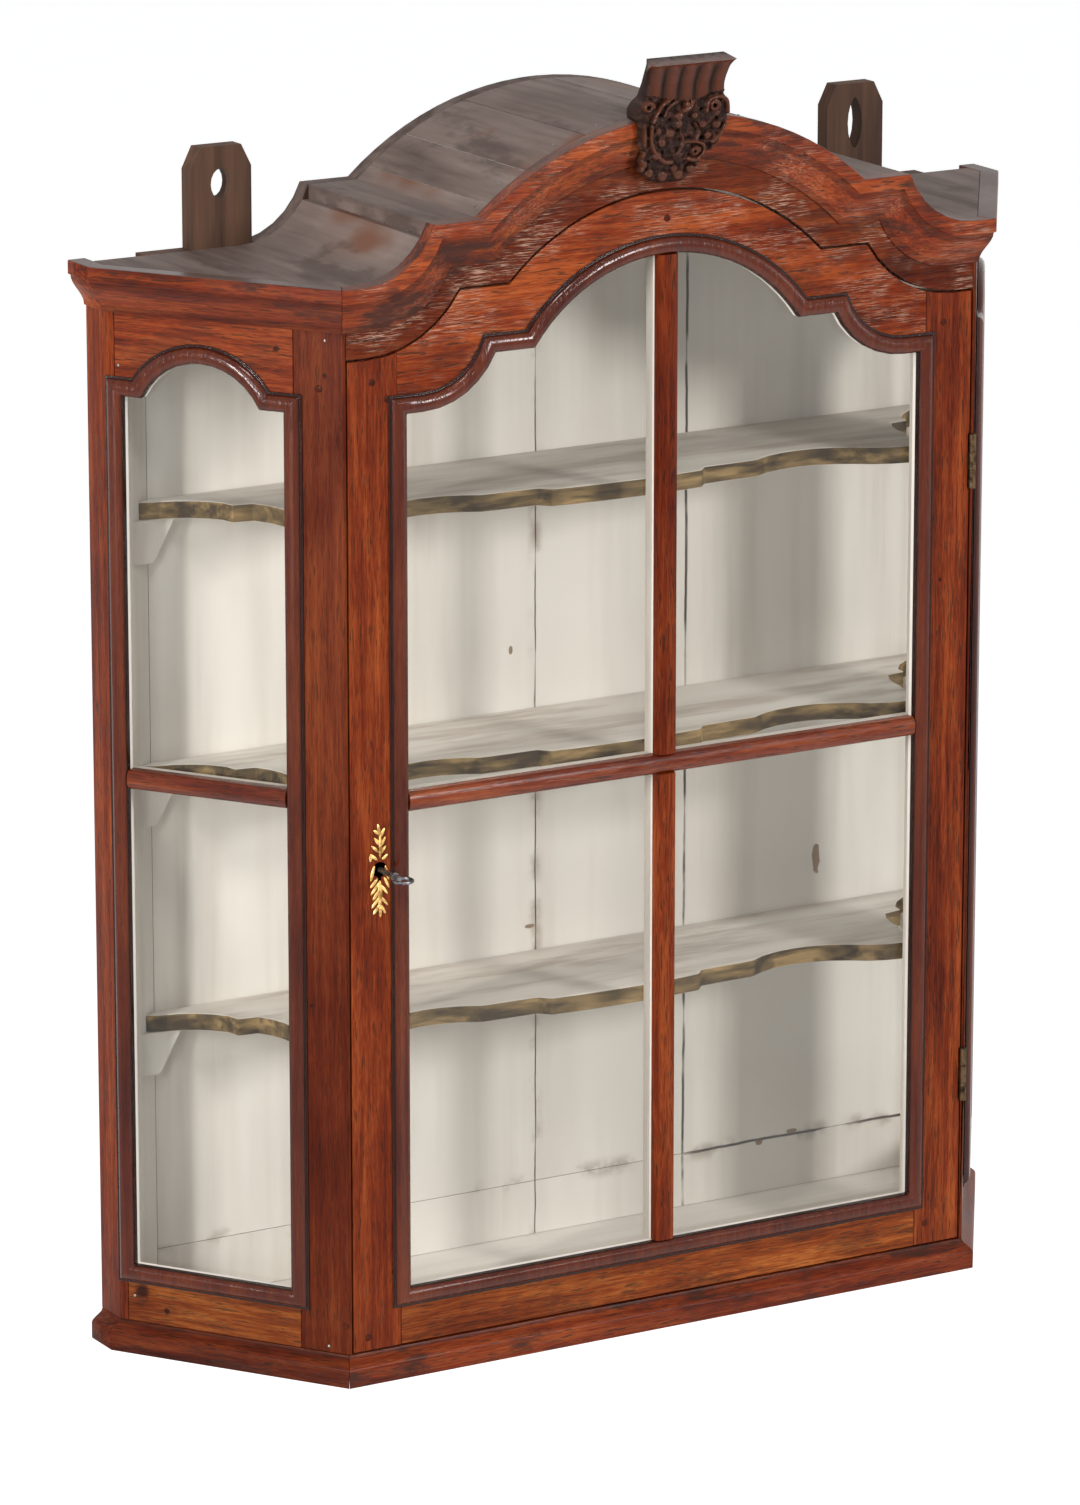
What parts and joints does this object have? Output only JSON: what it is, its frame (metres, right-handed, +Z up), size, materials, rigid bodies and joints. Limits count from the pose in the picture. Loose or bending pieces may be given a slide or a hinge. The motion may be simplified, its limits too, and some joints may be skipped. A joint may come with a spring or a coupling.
{
  "type": "wall display cabinet",
  "caption": "Hanging wall display cabinet in oak with canted glazed sides, an arched and stepped cornice with a carved crest, shaped shelves, and a hinged glazed door with lock and key.",
  "frame": {"origin": "on the wall, midway between the holes of the two hanging ears, on the back of the middle plank", "axes": "+X to the right as seen from the room, +Y into the wall, +Z up; the door faces -Y"},
  "size_m": [0.872, 0.258, 1.078],
  "materials": {
    "oak": "worn red-brown varnish",
    "dark_oak": "dark stained carving",
    "off_white_paint": "chalky off-white paint",
    "worn_shelf": "off-white paint worn to the wood at the edges",
    "weathered_roof": "bare, dusty and weathered",
    "glass": "clear old glass",
    "gilt_brass": "gilt, rubbed",
    "dark_iron": "dark and polished by use"
  },
  "bodies": {
    "case": {"base_front": "oak", "base_left": "oak", "base_right": "oak", "post_left": "oak", "post_right": "oak", "stile_left": "oak", "stile_right": "oak", "cant_top_left": "oak", "cant_top_right": "oak", "cant_foot_left": "oak", "cant_foot_right": "oak", "cant_bead_left": "oak", "cant_bead_right": "oak", "cant_bar_left": "oak", "cant_bar_right": "oak", "frieze": "oak", "cornice_front": "oak", "cornice_left": "oak", "cornice_right": "oak", "floor_board": "off_white_paint", "back_plank_left": "off_white_paint", "back_plank_middle": "off_white_paint", "back_plank_right": "off_white_paint", "back_rail": "off_white_paint", "shelf_lower": "worn_shelf", "shelf_middle": "worn_shelf", "shelf_upper": "worn_shelf", "roof_end_left": "weathered_roof", "roof_end_right": "weathered_roof", "roof_step_left": "weathered_roof", "roof_step_right": "weathered_roof", "roof_arch_1": "weathered_roof", "roof_arch_2": "weathered_roof", "roof_arch_3": "weathered_roof", "roof_arch_4": "weathered_roof", "roof_arch_5": "weathered_roof", "crest": "dark_oak", "cant_pane_lower_left": "glass", "cant_pane_upper_left": "glass", "cant_pane_lower_right": "glass", "cant_pane_upper_right": "glass", "hinge_lower_post_leaf": "gilt_brass", "hinge_upper_post_leaf": "gilt_brass"},
    "door": {"door_stile_left": "oak", "door_stile_right": "oak", "door_top_rail": "oak", "door_foot_rail": "oak", "door_bead": "oak", "door_bar_upright": "oak", "door_bar_level": "oak", "door_pane_lower_left": "glass", "door_pane_upper_left": "glass", "door_pane_lower_right": "glass", "door_pane_upper_right": "glass", "hinge_lower_door_leaf": "gilt_brass", "hinge_upper_door_leaf": "gilt_brass", "lock_case": "dark_iron", "escutcheon": "gilt_brass"},
    "key": {"key": "dark_iron"}
  },
  "joints": [
    {"name": "door_hinge", "type": "hinge", "parent": "case", "child": "door", "pos_m": [0.2972, -0.212, -0.524], "axis": [0, 0, 1], "range_deg": [0, 170]},
    {"name": "key_turn", "type": "hinge", "parent": "door", "child": "key", "pos_m": [-0.269, -0.21, -0.531], "axis": [0, -1, 0], "range_deg": [0, 180]}
  ]
}
